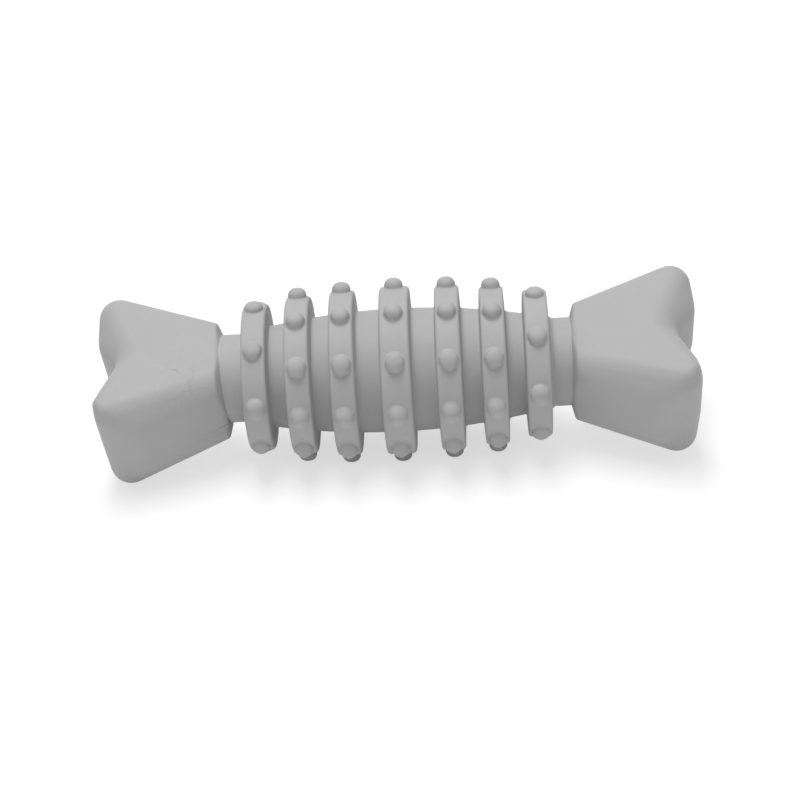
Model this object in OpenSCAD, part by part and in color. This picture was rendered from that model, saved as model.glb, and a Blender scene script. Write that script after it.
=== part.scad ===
// Ribbed rubber dog bone, lying on the nubs of its middle ring.
// +X runs along the bone to the right knuckle, +Z is up, and the origin is on the
// ground under the middle ring. Lengths are in millimetres, angles in degrees.

/* [Shaft] */
// Radius of the barrel at the middle of the bone
barrel_mid_r = 15.4; // [14:0.1:16.5]
// Radius of the long arc that the barrel's side follows
barrel_arc_r = 178; // [160:1:240]
// Radius of the plain neck between the end ring and the knuckle
neck_r = 11; // [9:0.1:11.2]
// How far each end of the shaft reaches into its knuckle
spigot_len = 12; // [6:0.5:16]
// Depth of the seat that each ring has in the shaft
seat_depth = 0.4; // [0.2:0.1:1]

/* [Rings] */
// Width of a ring across its shoulders
ring_w = 5.9; // [5:0.1:6.4]
// Width of the middle ring across its shoulders
mid_ring_w = 7.2; // [6:0.1:7.6]
// Bare barrel beside the middle ring
inner_groove_w = 5.85; // [5:0.05:7]
// Bare barrel between the next two rings
outer_groove_w = 4.5; // [4.1:0.05:6]
// Bare barrel inside the end ring
end_groove_w = 4.2; // [4.1:0.05:6]
// Height of the middle ring above the barrel
mid_ring_h = 5.5; // [4.5:0.1:6.5]
// Height of each end ring above the barrel
end_ring_h = 6.3; // [5.3:0.1:7.3]
// Rounding of a ring's shoulders
shoulder_r = 0.7; // [0.3:0.1:1]
// Draft on each side of a ring, from shoulder to root
ring_draft = 0.3; // [0.1:0.05:0.5]

/* [Nubs] */
// Radius of a nub and of its domed tip
nub_r = 2.3; // [1.6:0.05:2.4]
// Height of a nub above the rim
nub_h = 2.6; // [2.3:0.1:3.2]
// Height of an end ring's nub above the rim
end_nub_h = 2; // [1.8:0.1:2.8]
// Nubs round each of the five inner rings
body_nub_count = 10; // [8:2:12]
// Nubs round each of the two end rings
end_nub_count = 8; // [6:2:10]
// Angle by which the nubs of both end rings are turned towards the back
end_nub_turn = 2; // [0:0.5:9]

/* [Knuckles] */
// Bare neck between the end ring and the knuckle
neck_gap = 5.05; // [4.5:0.05:9]
// How far the inner face reaches past the neck, across the bone
face_margin_w = 0.8; // [0.6:0.1:3]
// How far the inner face reaches past the neck, towards the cheeks
face_margin_t = 1; // [0.6:0.1:3]
// Rounding of the inner face's corners
face_corner_r = 5.6; // [3:0.1:7]
// Width of the flat inner face round the neck, inside its bevel
face_lip = 0.2; // [0.1:0.1:0.5]
// Length of the bevel from the inner face to the cheeks, along the bone
face_bevel = 0.95; // [0.3:0.05:1.5]
// How much higher each cheek stands at the lobes' outer corners than at the inner face
lobe_rise = 3; // [1:0.1:5]
// From the inner face to the centre of the rounding at a lobe's outer corner
corner_x = 25.9; // [23:0.1:28]
// From the middle of the knuckle to that centre
corner_y = 15.2; // [13:0.1:18]
// Rounding of a lobe's outer corner
corner_r = 5.2; // [3.5:0.1:6.5]
// From the inner face to the centre of a lobe's crowned end
crown_x = 22.6; // [20:0.1:24]
// From the middle of the knuckle to that centre
crown_y = 11.5; // [10:0.1:13]
// Rounding of a lobe's crowned end
crown_r = 9.5; // [7.5:0.1:10.5]
// From the inner face to the centre of each rounding in the valley between the lobes
valley_x = 20.5; // [15:0.1:21.5]
// From the middle of the knuckle to that centre, on both sides
valley_y = 2.5; // [1:0.1:4]
// Rounding of the cheeks' edges in the valley
valley_r = 6.2; // [4:0.1:8]
// Angle by which the left knuckle droops from the shaft
left_droop = 3.5; // [0:0.5:4]
// Angle by which the right knuckle droops from the shaft
right_droop = 1; // [0:0.5:4]

/* [Hidden] */
// Smoothness of turned shapes and of the rounded knuckles
turned_fn = 96;
knuckle_fn = 32;
// Overrun of a cut past the material that it goes through
cut_over = 1;

rubber_grey = [0.71, 0.715, 0.72];

// The rings stand side by side, with bare barrel between their roots
inner_ring_x = mid_ring_w / 2 + inner_groove_w + ring_w / 2 + 2 * ring_draft;
outer_ring_x = inner_ring_x + ring_w + outer_groove_w + 2 * ring_draft;
end_ring_x = outer_ring_x + ring_w + end_groove_w + 2 * ring_draft;
// The rings from left to right
RING_X = [-end_ring_x, -outer_ring_x, -inner_ring_x, 0, inner_ring_x, outer_ring_x, end_ring_x];
last_ring = len(RING_X) - 1;
mid_ring = last_ring / 2;
function is_end_ring(i) = i == 0 || i == last_ring;
function width_of(i) = i == mid_ring ? mid_ring_w : ring_w;
function root_w(i) = width_of(i) + 2 * ring_draft;
function nub_count(i) = is_end_ring(i) ? end_nub_count : body_nub_count;
// An inner ring has a nub square to the cheeks, an end ring has two astride that line,
// turned a little
function first_nub(i) = is_end_ring(i) ? 180 / end_nub_count - end_nub_turn : 0;
function nub_h_of(i) = is_end_ring(i) ? end_nub_h : nub_h;

// Radius of the barrel at a distance from the middle, nowhere thinner than the neck
function barrel_r(x) =
    max(neck_r, barrel_mid_r - barrel_arc_r + sqrt(pow(barrel_arc_r, 2) - pow(x, 2)));
// The rings' height above the barrel grows as a parabola towards the end rings
function rim_r(i) =
    barrel_r(RING_X[i]) + mid_ring_h + (end_ring_h - mid_ring_h) * pow(RING_X[i] / end_ring_x, 2);
// A ring is seated below the smaller of the two shaft radii at its sides
function seat_r(i) =
    (is_end_ring(i) ? neck_r : barrel_r(abs(RING_X[i]) + root_w(i) / 2)) - seat_depth;
// and its sides rise square from the seat to the larger one before they taper
function root_r(i) = barrel_r(max(0, abs(RING_X[i]) - root_w(i) / 2));

// The bone lies on two neighbouring nubs of the middle ring
lie_angle = 180 / body_nub_count;
tip_centre_r = rim_r(mid_ring) + nub_h - nub_r;
axis_z = tip_centre_r * cos(lie_angle) + nub_r;

// A knuckle's inner face stands a little proud of the neck all round
knuckle_x = end_ring_x + root_w(last_ring) / 2 + neck_gap;
face_half_w = neck_r + face_margin_w;
face_half_t = neck_r + face_margin_t;
// The cheeks are flat: each of the knuckle's roundings reaches up to the same plane,
// which rises from the inner face to the lobes
cheek_rise = lobe_rise / corner_x;
function centre_z(x, r) = face_half_t + cheek_rise * x - r;

// Lifts the bone to its resting height
module lifted() {
    translate([0, 0, axis_z]) children();
}

// Turns a shape made with its cheeks level into the resting pose
module rolled() {
    rotate([lie_angle, 0, 0]) children();
}

// Turns a shape made round Z so that it runs along +X from a place on the bone
module along_bone(x) {
    translate([x, 0, 0]) rotate([0, 90, 0]) children();
}

// Long barrel with a gently arched side, from end ring to end ring
module barrel() {
    along_bone(0) rotate_extrude($fn = turned_fn) intersection() {
        translate([barrel_mid_r - barrel_arc_r, 0]) circle(r = barrel_arc_r, $fn = 4 * turned_fn);
        translate([0, -end_ring_x]) square([barrel_mid_r, 2 * end_ring_x]);
    }
}

// Space that one ring takes out of the shaft
module ring_seat(i) {
    along_bone(RING_X[i] - root_w(i) / 2) difference() {
        cylinder(r = rim_r(i), h = root_w(i), $fn = turned_fn);
        translate([0, 0, -cut_over])
            cylinder(r = seat_r(i), h = root_w(i) + 2 * cut_over, $fn = turned_fn);
    }
}

// Barrel and both necks in one piece, running on into the knuckles
module shaft() {
    color(rubber_grey) lifted() difference() {
        union() {
            barrel();
            along_bone(-knuckle_x - spigot_len)
                cylinder(r = neck_r, h = 2 * (knuckle_x + spigot_len), $fn = turned_fn);
        }
        for (i = [0 : last_ring]) ring_seat(i);
    }
}

// Half section of a ring, with its seat towards the axis and round shoulders outside
module ring_section(i) {
    half_w = width_of(i) / 2;
    half_root = root_w(i) / 2;
    centre_r = rim_r(i) - shoulder_r;
    polygon([
        [seat_r(i), -half_root], [root_r(i), -half_root], [centre_r, -half_w],
        [centre_r, half_w], [root_r(i), half_root], [seat_r(i), half_root]
    ]);
    translate([seat_r(i), -half_w + shoulder_r])
        square([rim_r(i) - seat_r(i), 2 * (half_w - shoulder_r)]);
    for (side = [-1, 1])
        translate([centre_r, side * (half_w - shoulder_r)])
            circle(r = shoulder_r, $fn = turned_fn / 2);
}

// One raised ring round the shaft
module ring(i) {
    color(rubber_grey) lifted() along_bone(RING_X[i])
        rotate_extrude($fn = turned_fn) ring_section(i);
}

// The domed nubs of one ring, each seated on the rim
module nubs(i) {
    color(rubber_grey) lifted() rolled() difference() {
        for (k = [0 : nub_count(i) - 1])
            rotate([first_nub(i) + k * 360 / nub_count(i), 0, 0])
                translate([RING_X[i], 0, rim_r(i) - nub_r]) {
                    cylinder(r = nub_r, h = nub_h_of(i), $fn = turned_fn / 2);
                    translate([0, 0, nub_h_of(i)]) sphere(r = nub_r, $fn = turned_fn / 2);
                }
        along_bone(RING_X[i] - width_of(i) / 2)
            cylinder(r = rim_r(i), h = width_of(i), $fn = turned_fn);
    }
}

// A pair of rounding spheres, one under each cheek
module cheek_rounds(x, y, r) {
    for (z = [-1, 1])
        translate([x, y, z * centre_z(x, r)]) sphere(r = r, $fn = knuckle_fn);
}

// Inner end of a knuckle: a narrow face round the neck, bevelled out to the cheeks
module inner_end() {
    rotate([0, 90, 0]) cylinder(r = neck_r + face_lip, h = face_bevel, $fn = turned_fn);
    for (y = [-1, 1], z = [-1, 1])
        translate([
            face_bevel, y * (face_half_w - face_corner_r), z * (face_half_t - face_corner_r)
        ]) rotate([0, 90, 0]) cylinder(r = face_corner_r, h = face_bevel, $fn = knuckle_fn);
}

// One lobe: the inner end drawn out to one side, with the valley's wall running down
// from the lobe to the valley's floor
module lobe(side) {
    hull() {
        inner_end();
        cheek_rounds(corner_x, side * corner_y, corner_r);
        cheek_rounds(crown_x, side * crown_y, crown_r);
        cheek_rounds(valley_x, side * valley_y, valley_r);
    }
}

// The middle of a knuckle, with the valley's floor
module web() {
    hull() {
        inner_end();
        for (side = [-1, 1]) cheek_rounds(valley_x, side * valley_y, valley_r);
    }
}

// The flared, two-lobed end of a bone, pointing to +X from its inner face
module knuckle_body() {
    translate([knuckle_x, 0, 0]) rolled() {
        lobe(-1);
        lobe(1);
        web();
    }
}

// Hole that the end of the shaft fills, from the middle of the bone to +X
module spigot_hole() {
    along_bone(0) cylinder(r = neck_r, h = knuckle_x + spigot_len, $fn = turned_fn);
}

// Knuckle on the end of the shaft, drooping a little from the end ring outwards
module knuckle(droop) {
    difference() {
        translate([end_ring_x, 0, 0]) rotate([0, droop, 0]) translate([-end_ring_x, 0, 0])
            knuckle_body();
        spigot_hole();
    }
}

module right_knuckle() {
    color(rubber_grey) lifted() knuckle(right_droop);
}

module left_knuckle() {
    color(rubber_grey) lifted() mirror([1, 0, 0]) knuckle(left_droop);
}

shaft();
left_knuckle();
right_knuckle();
ring(0);  // ring_1
ring(1);  // ring_2
ring(2);  // ring_3
ring(3);  // ring_4
ring(4);  // ring_5
ring(5);  // ring_6
ring(6);  // ring_7
nubs(0);  // ring_1_nubs
nubs(1);  // ring_2_nubs
nubs(2);  // ring_3_nubs
nubs(3);  // ring_4_nubs
nubs(4);  // ring_5_nubs
nubs(5);  // ring_6_nubs
nubs(6);  // ring_7_nubs
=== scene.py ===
import math

import bmesh
import bpy
from mathutils import Matrix, Vector


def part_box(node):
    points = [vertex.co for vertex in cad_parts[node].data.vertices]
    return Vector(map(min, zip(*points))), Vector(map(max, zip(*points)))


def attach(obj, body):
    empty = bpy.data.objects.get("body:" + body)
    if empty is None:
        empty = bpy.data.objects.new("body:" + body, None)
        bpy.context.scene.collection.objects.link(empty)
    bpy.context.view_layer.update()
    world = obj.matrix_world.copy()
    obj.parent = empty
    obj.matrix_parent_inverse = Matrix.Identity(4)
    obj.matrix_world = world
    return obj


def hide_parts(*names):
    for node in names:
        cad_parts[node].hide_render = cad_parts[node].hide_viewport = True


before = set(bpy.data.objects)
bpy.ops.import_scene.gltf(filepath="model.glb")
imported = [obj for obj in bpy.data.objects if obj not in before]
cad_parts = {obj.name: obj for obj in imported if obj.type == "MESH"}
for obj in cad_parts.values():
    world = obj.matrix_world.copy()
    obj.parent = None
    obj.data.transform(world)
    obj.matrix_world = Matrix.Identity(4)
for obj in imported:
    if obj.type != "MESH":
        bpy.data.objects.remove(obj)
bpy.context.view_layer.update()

# Camera: a long lens six tenths of a metre from the bone, a little above it and turned to
# its right. The bone lies slightly aslant in the picture, above the middle of the frame.
MM = 0.001
middle_low, middle_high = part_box("ring_4")
bone_axis = (middle_low + middle_high) / 2
camera_data = bpy.data.cameras.new("bone_camera")
camera_data.lens = 108
camera_data.sensor_width = 36
camera_data.clip_start = 50 * MM
camera = bpy.data.objects.new("bone_camera", camera_data)
bpy.context.scene.collection.objects.link(camera)
camera_height_angle = math.radians(31.4)
camera_side_angle = math.radians(2.58)
picture_slant = math.radians(-4.26)
turn = (
    Matrix.Rotation(camera_side_angle, 4, "Z")
    @ Matrix.Rotation(math.pi / 2 - camera_height_angle, 4, "X")
    @ Matrix.Rotation(picture_slant, 4, "Z")
)
camera_offset = Vector((0.4 * MM, -7.5 * MM, 600 * MM))
camera.matrix_world = Matrix.Translation(bone_axis + turn.to_3x3() @ camera_offset) @ turn
bpy.context.scene.camera = camera
bpy.context.scene.view_settings.view_transform = "Standard"

# Studio: a white table under a soft white surround, with one wide lamp over the bone, a
# little to its left. The table looks white in the picture and keeps the bone's soft shadow.
table_reach = 1.5
table_tone = (0.95, 0.95, 0.95, 1)
seen_table_tone = (0.5, 0.5, 0.5, 1)
seen_table_glow = 0.62
surround_tone = (0.995, 0.995, 1, 1)
surround_strength = 0.33
lamp_size = 0.4
lamp_depth = 1
lamp_distance = 1.1
lamp_lean_back = math.radians(2)
lamp_lean_left = math.radians(4)
lamp_power = 7.45


def seen_rays(nodes, links):
    """One for what the camera, a gloss or a clear surface sees, and nought for light."""
    path = nodes.new("ShaderNodeLightPath")
    gloss = nodes.new("ShaderNodeMath")
    gloss.operation = "MAXIMUM"
    links.new(path.outputs["Is Camera Ray"], gloss.inputs[0])
    links.new(path.outputs["Is Glossy Ray"], gloss.inputs[1])
    seen = nodes.new("ShaderNodeMath")
    seen.operation = "MAXIMUM"
    links.new(gloss.outputs[0], seen.inputs[0])
    links.new(path.outputs["Is Transmission Ray"], seen.inputs[1])
    return seen.outputs[0]


surround = bpy.data.worlds.new("studio_surround")
surround.use_nodes = True
nodes, links = surround.node_tree.nodes, surround.node_tree.links
nodes.clear()
soft_fill = nodes.new("ShaderNodeBackground")
soft_fill.inputs["Color"].default_value = surround_tone
soft_fill.inputs["Strength"].default_value = surround_strength
white_wall = nodes.new("ShaderNodeBackground")
white_wall.inputs["Color"].default_value = (1, 1, 1, 1)
wall_or_fill = nodes.new("ShaderNodeMixShader")
links.new(seen_rays(nodes, links), wall_or_fill.inputs[0])
links.new(soft_fill.outputs[0], wall_or_fill.inputs[1])
links.new(white_wall.outputs[0], wall_or_fill.inputs[2])
world_end = nodes.new("ShaderNodeOutputWorld")
links.new(wall_or_fill.outputs[0], world_end.inputs["Surface"])
bpy.context.scene.world = surround

lamp_data = bpy.data.lights.new("soft_lamp", "AREA")
lamp_data.shape = "ELLIPSE"
lamp_data.size = lamp_size
lamp_data.size_y = lamp_depth
lamp_data.energy = lamp_power
lamp = bpy.data.objects.new("soft_lamp", lamp_data)
lamp_way = Matrix.Rotation(-lamp_lean_left, 4, "Y") @ Matrix.Rotation(-lamp_lean_back, 4, "X")
lamp.matrix_world = lamp_way @ Matrix.Translation((0, 0, lamp_distance))
bpy.context.scene.collection.objects.link(lamp)

table_shape = bmesh.new()
bmesh.ops.create_grid(table_shape, x_segments=1, y_segments=1, size=table_reach)
table_mesh = bpy.data.meshes.new("white_table")
table_shape.to_mesh(table_mesh)
table_shape.free()
table = bpy.data.objects.new("white_table", table_mesh)
bpy.context.scene.collection.objects.link(table)
table_paint = bpy.data.materials.new("table_white")
table_paint.use_nodes = True
nodes, links = table_paint.node_tree.nodes, table_paint.node_tree.links
nodes.clear()
bare_table = nodes.new("ShaderNodeBsdfDiffuse")
bare_table.inputs["Color"].default_value = table_tone
pictured_table = nodes.new("ShaderNodeBsdfDiffuse")
pictured_table.inputs["Color"].default_value = seen_table_tone
white_glow = nodes.new("ShaderNodeEmission")
white_glow.inputs["Strength"].default_value = seen_table_glow
white_table = nodes.new("ShaderNodeAddShader")
links.new(pictured_table.outputs[0], white_table.inputs[0])
links.new(white_glow.outputs[0], white_table.inputs[1])
table_choice = nodes.new("ShaderNodeMixShader")
links.new(seen_rays(nodes, links), table_choice.inputs[0])
links.new(bare_table.outputs[0], table_choice.inputs[1])
links.new(white_table.outputs[0], table_choice.inputs[2])
table_end = nodes.new("ShaderNodeOutputMaterial")
links.new(table_choice.outputs[0], table_end.inputs["Surface"])
table_mesh.materials.append(table_paint)

# Shaft: the solid rubber core that every ring stands on. It is moulded in one with the
# rest of the bone, fattest in the middle, and runs as a plain neck into each knuckle.
barrel_radius = 15.4 * MM
barrel_arc = 178 * MM
neck_radius = 11 * MM
turning_steps = 256
shaft_low, shaft_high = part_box("shaft")
end_ring_low, end_ring_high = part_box("ring_7")
barrel_end = (end_ring_low.x + end_ring_high.x) / 2


def barrel_radius_at(x):
    """The barrel's side follows one long arc, down to the neck."""
    return max(neck_radius, barrel_radius - barrel_arc + math.sqrt(barrel_arc**2 - x**2))


# The rubber's tones, and the scales of its patterns as repeats in a metre
rubber_name = "moulded_grey_rubber"
darker_grey = (0.502, 0.502, 0.505, 1)
lighter_grey = (0.528, 0.528, 0.53, 1)
cloud_scale = 70
speck_scale = 1400
speck_shades = (0.985, 1.01)
gloss_scale = 420
roughness_range = (0.56, 0.66)
specular_level = 0.35
# Each unevenness of the skin: its scale, strength and depth
fine_grain = (2600, 0.35, 0.03 * MM)
soft_waves = (260, 0.25, 0.12 * MM)
# Faint creases in the skin of the left knuckle, round one place on its near edge: furrows in the
# bump, with painted shade darkening their lines
crease_middle = (-53.5 * MM, -13 * MM, 30.3 * MM)
crease_full_reach = 3 * MM
crease_end_reach = 10 * MM
crease_scale = 130
crease_width = 0.045
crease_break_scale = 330
crease_wander_scale = 160
crease_wander = 7 * MM
crease_shade_grey = (0.3, 0.3, 0.303, 1)
crease_shade_strength = 0.3
crease_bump_strength = 0.8
crease_depth = 0.1 * MM


def rubber():
    """Light grey moulded rubber: matt, with a fine even grain and faint cloudy patches."""
    made = bpy.data.materials.get(rubber_name)
    if made:
        return made
    made = bpy.data.materials.new(rubber_name)
    made.use_nodes = True
    nodes, links = made.node_tree.nodes, made.node_tree.links
    nodes.clear()
    place = nodes.new("ShaderNodeTexCoord").outputs["Object"]

    def noise(scale, detail, roughness):
        grain = nodes.new("ShaderNodeTexNoise")
        grain.inputs["Scale"].default_value = scale
        grain.inputs["Detail"].default_value = detail
        grain.inputs["Roughness"].default_value = roughness
        links.new(place, grain.inputs["Vector"])
        return grain

    def stretch(value, start, end, to_start, to_end):
        span = nodes.new("ShaderNodeMapRange")
        span.inputs["From Min"].default_value = start
        span.inputs["From Max"].default_value = end
        span.inputs["To Min"].default_value = to_start
        span.inputs["To Max"].default_value = to_end
        links.new(value, span.inputs["Value"])
        return span.outputs["Result"]

    def spread(grain, low, high):
        """From low to high over the noise, which nearly all lies between 0.3 and 0.7."""
        return stretch(grain.outputs["Fac"], 0.3, 0.7, low, high)

    def times(value, other):
        product = nodes.new("ShaderNodeMath")
        product.operation = "MULTIPLY"
        links.new(value, product.inputs[0])
        links.new(other, product.inputs[1])
        return product.outputs[0]

    def bump(height, strength, depth, under=None):
        uneven = nodes.new("ShaderNodeBump")
        uneven.inputs["Strength"].default_value = strength
        uneven.inputs["Distance"].default_value = depth
        links.new(height, uneven.inputs["Height"])
        if under:
            links.new(under.outputs["Normal"], uneven.inputs["Normal"])
        return uneven

    clouds = noise(cloud_scale, 3, 0.55)
    specks = noise(speck_scale, 2, 0.5)
    tone = nodes.new("ShaderNodeMix")
    tone.data_type = "RGBA"
    tone.inputs["A"].default_value = darker_grey
    tone.inputs["B"].default_value = lighter_grey
    links.new(spread(clouds, 0, 1), tone.inputs["Factor"])
    dust = nodes.new("ShaderNodeMix")
    dust.data_type = "RGBA"
    dust.blend_type = "MULTIPLY"
    dust.inputs["Factor"].default_value = 1
    links.new(tone.outputs["Result"], dust.inputs["A"])
    shade = nodes.new("ShaderNodeCombineColor")
    speck_shade = spread(specks, *speck_shades)
    for channel in ("Red", "Green", "Blue"):
        links.new(speck_shade, shade.inputs[channel])
    links.new(shade.outputs["Color"], dust.inputs["B"])

    away = nodes.new("ShaderNodeVectorMath")
    away.operation = "DISTANCE"
    away.inputs[1].default_value = crease_middle
    links.new(place, away.inputs[0])
    patch = stretch(away.outputs["Value"], crease_full_reach, crease_end_reach, 1, 0)
    bent = nodes.new("ShaderNodeVectorMath")
    bent.operation = "MULTIPLY_ADD"
    bent.inputs[1].default_value = (crease_wander, crease_wander, crease_wander)
    links.new(noise(crease_wander_scale, 3, 0.5).outputs["Color"], bent.inputs[0])
    links.new(place, bent.inputs[2])
    cells = nodes.new("ShaderNodeTexVoronoi")
    cells.feature = "DISTANCE_TO_EDGE"
    cells.inputs["Scale"].default_value = crease_scale
    links.new(bent.outputs["Vector"], cells.inputs["Vector"])
    line = stretch(cells.outputs["Distance"], 0, crease_width, 1, 0)
    broken_line = times(line, spread(noise(crease_break_scale, 2, 0.5), 0, 1))
    creases = times(broken_line, patch)
    # Painted shade: the crease lines are darkened towards a dark grey, as shade lying in the
    # furrows
    crease_shade_share = nodes.new("ShaderNodeMath")
    crease_shade_share.operation = "MULTIPLY"
    crease_shade_share.inputs[1].default_value = crease_shade_strength
    links.new(creases, crease_shade_share.inputs[0])
    crease_shade_tone = nodes.new("ShaderNodeMix")
    crease_shade_tone.data_type = "RGBA"
    crease_shade_tone.inputs["B"].default_value = crease_shade_grey
    links.new(crease_shade_share.outputs[0], crease_shade_tone.inputs["Factor"])
    links.new(dust.outputs["Result"], crease_shade_tone.inputs["A"])

    grain_scale, *grain_bump = fine_grain
    wave_scale, *wave_bump = soft_waves
    grain = bump(noise(grain_scale, 3, 0.6).outputs["Fac"], *grain_bump)
    waves = bump(noise(wave_scale, 2, 0.5).outputs["Fac"], *wave_bump, grain)
    furrow = bump(creases, crease_bump_strength, crease_depth, waves)
    furrow.invert = True

    skin = nodes.new("ShaderNodeBsdfPrincipled")
    skin.inputs["Specular IOR Level"].default_value = specular_level
    links.new(crease_shade_tone.outputs["Result"], skin.inputs["Base Color"])
    links.new(spread(noise(gloss_scale, 3, 0.6), *roughness_range), skin.inputs["Roughness"])
    links.new(furrow.outputs["Normal"], skin.inputs["Normal"])
    end = nodes.new("ShaderNodeOutputMaterial")
    links.new(skin.outputs[0], end.inputs["Surface"])
    return made


corner_steps = 6
weld_distance = 0.001 * MM


def outline(shape, points, rounds=(), closed=False):
    """A wire through points of (along, out), with its numbered corners rounded."""
    corners = [shape.verts.new((along, 0, out)) for along, out in points]
    for one, other in zip(corners, corners[1:]):
        shape.edges.new((one, other))
    if closed:
        shape.edges.new((corners[-1], corners[0]))
    for index, radius in rounds:
        bmesh.ops.bevel(
            shape, geom=[corners[index]], offset=radius, offset_type="OFFSET",
            segments=corner_steps, profile=0.5, affect="VERTICES", material=-1,
        )


def spin_closed(shape, axis, steps):
    """Spins the wire once round an axis and closes it into a shell that faces outwards."""
    bmesh.ops.spin(
        shape, geom=shape.verts[:] + shape.edges[:], cent=(0, 0, 0), axis=axis,
        angle=2 * math.pi, steps=steps, use_merge=True,
    )
    bmesh.ops.remove_doubles(shape, verts=shape.verts[:], dist=weld_distance)
    bmesh.ops.recalc_face_normals(shape, faces=shape.faces[:])


def finish_piece(shape, name, *replaced):
    """Makes the piece, smooth and in grey rubber, in place of its solids."""
    mesh = bpy.data.meshes.new(name)
    shape.to_mesh(mesh)
    shape.free()
    mesh.shade_smooth()
    mesh.materials.append(rubber())
    piece = bpy.data.objects.new(name, mesh)
    bpy.context.scene.collection.objects.link(piece)
    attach(piece, "root")
    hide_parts(*replaced)


# A narrow step beside each corner of the core keeps the long neck's shading even
corner_step = 0.3 * MM
barrel_steps = 60
barrel_side = [
    (x, barrel_radius_at(x))
    for x in (barrel_end * (2 * step / barrel_steps - 1) for step in range(barrel_steps + 1))
]
core = bmesh.new()
outline(
    core,
    [
        (shaft_low.x, 0),
        (shaft_low.x, neck_radius),
        (shaft_low.x + corner_step, neck_radius),
        (-barrel_end - corner_step, neck_radius),
        (-barrel_end, neck_radius),
    ]
    + barrel_side
    + [
        (barrel_end, neck_radius),
        (barrel_end + corner_step, neck_radius),
        (shaft_high.x - corner_step, neck_radius),
        (shaft_high.x, neck_radius),
        (shaft_high.x, 0),
    ],
)
spin_closed(core, (1, 0, 0), turning_steps)
bmesh.ops.translate(core, verts=core.verts[:], vec=(0, 0, bone_axis.z))
finish_piece(core, "bone_core", "shaft")

# Rings: seven bands that stand up from the core to scrape a dog's teeth. Each is moulded
# with a flat rim, round shoulders, sides that lean in a little and a soft root.
ring_count = 7
shoulder_radius = 0.8 * MM
side_lean = 0.3 * MM
root_round = 0.5 * MM
root_softness = 0.9
root_lip = 0.01 * MM
root_depth = 0.3 * MM


def ring_name(number):
    return f"ring_{number}"


def ring_rim(number):
    """Middle, half width at the root and rim radius of a ring, from its solid."""
    low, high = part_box(ring_name(number))
    return (low.x + high.x) / 2, (high.x - low.x) / 2, (high.z - low.z) / 2


for number in range(1, ring_count + 1):
    middle, half_root, rim = ring_rim(number)
    left_root, right_root = (barrel_radius_at(middle + side * half_root) for side in (-1, 1))
    left, right = middle - half_root, middle + half_root
    band = bmesh.new()
    outline(
        band,
        [
            (left - root_round, left_root - root_depth),
            (left - root_round, left_root + root_lip),
            (left, left_root),
            (left + side_lean, rim),
            (right - side_lean, rim),
            (right, right_root),
            (right + root_round, right_root + root_lip),
            (right + root_round, right_root - root_depth),
        ],
        rounds=[
            (2, root_round * root_softness), (3, shoulder_radius),
            (4, shoulder_radius), (5, root_round * root_softness),
        ],
        closed=True,
    )
    spin_closed(band, (1, 0, 0), turning_steps)
    bmesh.ops.translate(band, verts=band.verts[:], vec=(0, 0, bone_axis.z))
    finish_piece(band, f"chew_{ring_name(number)}", ring_name(number))

# Nubs: small domes on every rim, ten round each inner ring and eight round each end ring.
# They are moulded with the rings and have a soft root where they stand on the rim.
nub_radius = 2.3 * MM
nub_height = 2.51 * MM
end_nub_height = 2 * MM
nub_root = 0.45 * MM
nub_sink = 0.4 * MM
nub_steps = 48
dome_steps = 16
foot_steps = 6
# The bone lies on two nubs of its middle ring, so that its cheeks lean towards the camera
cheek_lean = math.radians(18)
inner_nubs = 10
end_nubs = 8
# The end rings' nubs are turned a little towards the back
end_nub_turn = math.radians(2)
# A dome's sides are steeper and its top flatter than a ball's, but beside the mould's
# parting line, which runs level with the cheeks, they slope down gently towards that line
dome_fullness = 2 / 2.4
parting_fullness = 2 / 1.6
parting_slope = 0.55
parting_reach = math.radians(27)
dome_arc = [step / dome_steps * math.pi / 2 for step in range(dome_steps + 1)]
foot_arc = [step / foot_steps * math.pi / 2 for step in range(foot_steps + 1)]


def nub_shape(rim, half_flat, height, fullness, slope):
    """One dome with its root bent round the rim and down over the ring's shoulders."""
    dome = [
        (
            nub_radius * abs(math.sin(a)) ** fullness,
            nub_root + (height - nub_root) * abs(math.cos(a)) ** fullness,
        )
        for a in dome_arc
    ]
    foot = [
        (nub_radius + nub_root * (1 - math.cos(a)), nub_root * (1 - math.sin(a)))
        for a in foot_arc
    ]
    shape = bmesh.new()
    outline(shape, dome + foot + [(nub_radius + nub_root, -nub_sink), (0, -nub_sink)])
    spin_closed(shape, (0, 0, 1), nub_steps)
    for vert in shape.verts:
        if vert.co.y > 0:
            vert.co.y *= 1 + slope * max(0, height - max(0, vert.co.z)) / nub_radius
        bend = min(1, (height - vert.co.z) / (height - nub_root))
        vert.co.z -= bend * (rim - math.sqrt(rim**2 - vert.co.y**2))
        if vert.co.z < nub_root:
            past = max(0, abs(vert.co.x) - half_flat)
            vert.co.z -= shoulder_radius - math.sqrt(shoulder_radius**2 - past**2)
    return shape


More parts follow.
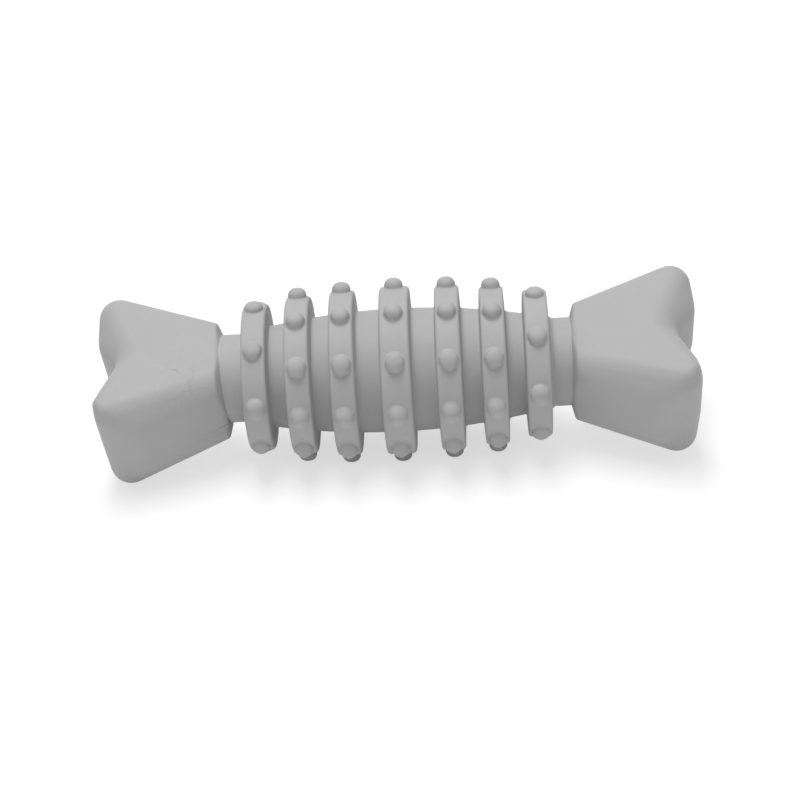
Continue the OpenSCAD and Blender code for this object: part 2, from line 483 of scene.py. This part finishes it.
for number in range(1, ring_count + 1):
    middle, half_root, rim = ring_rim(number)
    is_end = number in (1, ring_count)
    count = end_nubs if is_end else inner_nubs
    first = math.pi / count - end_nub_turn if is_end else 0
    half_flat = half_root - side_lean - shoulder_radius
    domes = []
    height = end_nub_height if is_end else nub_height
    for fullness, slope in ((dome_fullness, 0), (parting_fullness, parting_slope)):
        dome_shape = nub_shape(rim, half_flat, height, fullness, slope)
        domes.append(bpy.data.meshes.new("nub_dome"))
        dome_shape.to_mesh(domes[-1])
        dome_shape.free()
    row = bmesh.new()
    for nub in range(count):
        round_ring = first + nub * 2 * math.pi / count
        by_parting = abs(math.cos(round_ring)) < math.sin(parting_reach)
        line_behind = by_parting and math.sin(2 * round_ring) > 0
        before = len(row.verts)
        row.from_mesh(domes[by_parting])
        row.verts.ensure_lookup_table()
        stand = (
            Matrix.Translation((middle, 0, bone_axis.z))
            @ Matrix.Rotation(cheek_lean + round_ring, 4, "X")
            @ Matrix.Translation((0, 0, rim))
            @ Matrix.Rotation(math.pi if line_behind else 0, 4, "Z")
        )
        bmesh.ops.transform(row, matrix=stand, verts=row.verts[before:])
    for dome_mesh in domes:
        bpy.data.meshes.remove(dome_mesh)
    finish_piece(row, f"nubs_of_{ring_name(number)}", f"{ring_name(number)}_nubs")

# Knuckles: the flared ends that give the bone its shape. Each is solid rubber with two flat
# cheeks, two crowned lobes and a soft valley between them, moulded on the end of a neck.
# The inner face: its half sizes and corners, a lip round the neck and a sloping edge
face_half_width = 11.8 * MM
face_half_height = 12 * MM
face_corner = 5.6 * MM
face_lip = 0.2 * MM
face_bevel = 0.95 * MM
neck_gap = 5.05 * MM
# Each rounding of a lobe: how far out, how far across and its radius
lobe_corner = (25.9 * MM, 15.2 * MM, 5.2 * MM)
lobe_crown = (22.6 * MM, 11.5 * MM, 9.5 * MM)
valley_floor = (20.5 * MM, 2.5 * MM, 6.2 * MM)
# How much each cheek rises along the knuckle, from the inner face to the lobe's corner
cheek_rise = 3 * MM / lobe_corner[0]
# The tip of the near lobe is crisp where the upper cheek ends, and every other edge is soft
crisp_tip = [(27.2 * MM, 16.6 * MM, 2.8 * MM), (28.9 * MM, 15.6 * MM, 1.8 * MM)]
neck_ring_steps = 96
face_corner_steps = 48
lobe_detail = 4
skin_grain = 0.35 * MM
skin_smoothings = 4
# The valley is softened in bands, each narrower than the one before
valley_bands = (6 * MM, 5 * MM, 4 * MM, 3 * MM, 2 * MM)
valley_smoothings = 8
left_droop = math.radians(3.5)
right_droop = math.radians(1)
# The right knuckle is a hair shorter than the left
right_shrink = 0.985
# The mould left a short line at the inner end of the left knuckle, just below its middle
seam_width = 0.34 * MM
seam_height = 0.22 * MM
seam_drop = 3.4 * MM
seam_reach = 10 * MM
seam_merge = 0.01 * MM
seam_slack = 0.012 * MM


def knuckle_part(rounds, top_rounds):
    """Skin drawn round the inner face and a set of roundings, some only at the upper cheek."""
    shape = bmesh.new()
    upright = Matrix.Rotation(math.pi / 2, 4, "Y")
    bmesh.ops.create_circle(
        shape, segments=neck_ring_steps, radius=neck_radius + face_lip, matrix=upright
    )
    for up in (-1, 1):
        for across in (-1, 1):
            corner = Matrix.Translation((
                face_bevel,
                across * (face_half_width - face_corner),
                up * (face_half_height - face_corner),
            ))
            bmesh.ops.create_circle(
                shape, segments=face_corner_steps, radius=face_corner, matrix=corner @ upright
            )
        for out, sideways, radius in rounds if up < 0 else (*rounds, *top_rounds):
            height = face_half_height + cheek_rise * out - radius
            bmesh.ops.create_icosphere(
                shape, subdivisions=lobe_detail, radius=radius,
                matrix=Matrix.Translation((out, sideways, up * height)),
            )
    hull = bmesh.ops.convex_hull(shape, input=shape.verts[:])
    inside = [piece for piece in hull["geom_interior"] if isinstance(piece, bmesh.types.BMVert)]
    bmesh.ops.delete(shape, geom=inside, context="VERTS")
    bmesh.ops.delete(shape, geom=[e for e in shape.edges if not e.link_faces], context="EDGES")
    bmesh.ops.recalc_face_normals(shape, faces=shape.faces[:])
    return shape


def smooth_skin(shape, verts, passes):
    for _ in range(passes):
        bmesh.ops.smooth_vert(
            shape, verts=verts, factor=0.5, use_axis_x=True, use_axis_y=True, use_axis_z=True
        )


def knuckle_shape():
    """The two lobes and the web between them, run together into one skin."""
    both = bmesh.new()
    floor_x, floor_y, floor_radius = valley_floor
    parts = [([(floor_x, side * floor_y, floor_radius) for side in (-1, 1)], ())]
    for side in (-1, 1):
        lobe = [(x, side * y, radius) for x, y, radius in (lobe_corner, lobe_crown, valley_floor)]
        tip = [(x, side * y, radius) for x, y, radius in crisp_tip] if side < 0 else ()
        parts.append((lobe, tip))
    for rounds, top_rounds in parts:
        part_mesh = bpy.data.meshes.new("knuckle_part")
        part = knuckle_part(rounds, top_rounds)
        part.to_mesh(part_mesh)
        part.free()
        both.from_mesh(part_mesh)
        bpy.data.meshes.remove(part_mesh)
    rough_mesh = bpy.data.meshes.new("rough_knuckle")
    both.to_mesh(rough_mesh)
    both.free()
    rough = bpy.data.objects.new("rough_knuckle", rough_mesh)
    bpy.context.scene.collection.objects.link(rough)
    remesh = rough.modifiers.new("skin", "REMESH")
    remesh.mode = "VOXEL"
    remesh.voxel_size = skin_grain
    bpy.context.view_layer.update()
    smooth_mesh = bpy.data.meshes.new_from_object(
        rough.evaluated_get(bpy.context.evaluated_depsgraph_get())
    )
    shape = bmesh.new()
    shape.from_mesh(smooth_mesh)
    bpy.data.objects.remove(rough)
    bpy.data.meshes.remove(rough_mesh)
    bpy.data.meshes.remove(smooth_mesh)
    smooth_skin(shape, shape.verts[:], skin_smoothings)
    for reach in valley_bands:
        near_valley = [
            v for v in shape.verts
            if abs(v.co.y) < reach and v.co.x > floor_x + floor_radius - reach
        ]
        smooth_skin(shape, near_valley, valley_smoothings)
    return shape


def raise_seam(shape):
    """The thin line that the mould's halves leave, fading away from the inner face."""
    upwards = Vector((0, 0, 1))
    for offset in (-seam_width / 2, 0, seam_width / 2):
        bmesh.ops.bisect_plane(
            shape, geom=shape.verts[:] + shape.edges[:] + shape.faces[:], dist=seam_merge,
            plane_co=upwards * (offset - seam_drop), plane_no=upwards,
        )
    shape.normal_update()
    for vert in shape.verts:
        if abs(vert.co.z + seam_drop) < seam_slack:
            outwards = Vector((vert.normal.x, vert.normal.y, 0)).normalized()
            vert.co += outwards * seam_height * max(0, 1 - vert.co.x / seam_reach)


def place_knuckle(shape, matrix, name, node):
    bmesh.ops.transform(shape, matrix=matrix, verts=shape.verts[:])
    bmesh.ops.recalc_face_normals(shape, faces=shape.faces[:])
    finish_piece(shape, name, node)


def knuckle_place(droop):
    """Out to the right of the bone, drooping from the middle of the end ring."""
    return (
        Matrix.Translation((barrel_end, 0, bone_axis.z))
        @ Matrix.Rotation(droop, 4, "Y")
        @ Matrix.Translation((end_ring_high.x + neck_gap - barrel_end, 0, 0))
        @ Matrix.Rotation(cheek_lean, 4, "X")
    )


to_right = knuckle_place(right_droop) @ Matrix.Scale(right_shrink, 4, (1, 0, 0))
place_knuckle(knuckle_shape(), to_right, "right_bone_end", "right_knuckle")
to_left = Matrix.Scale(-1, 4, (1, 0, 0)) @ knuckle_place(left_droop)
left_end = knuckle_shape()
raise_seam(left_end)
place_knuckle(left_end, to_left, "left_bone_end", "left_knuckle")
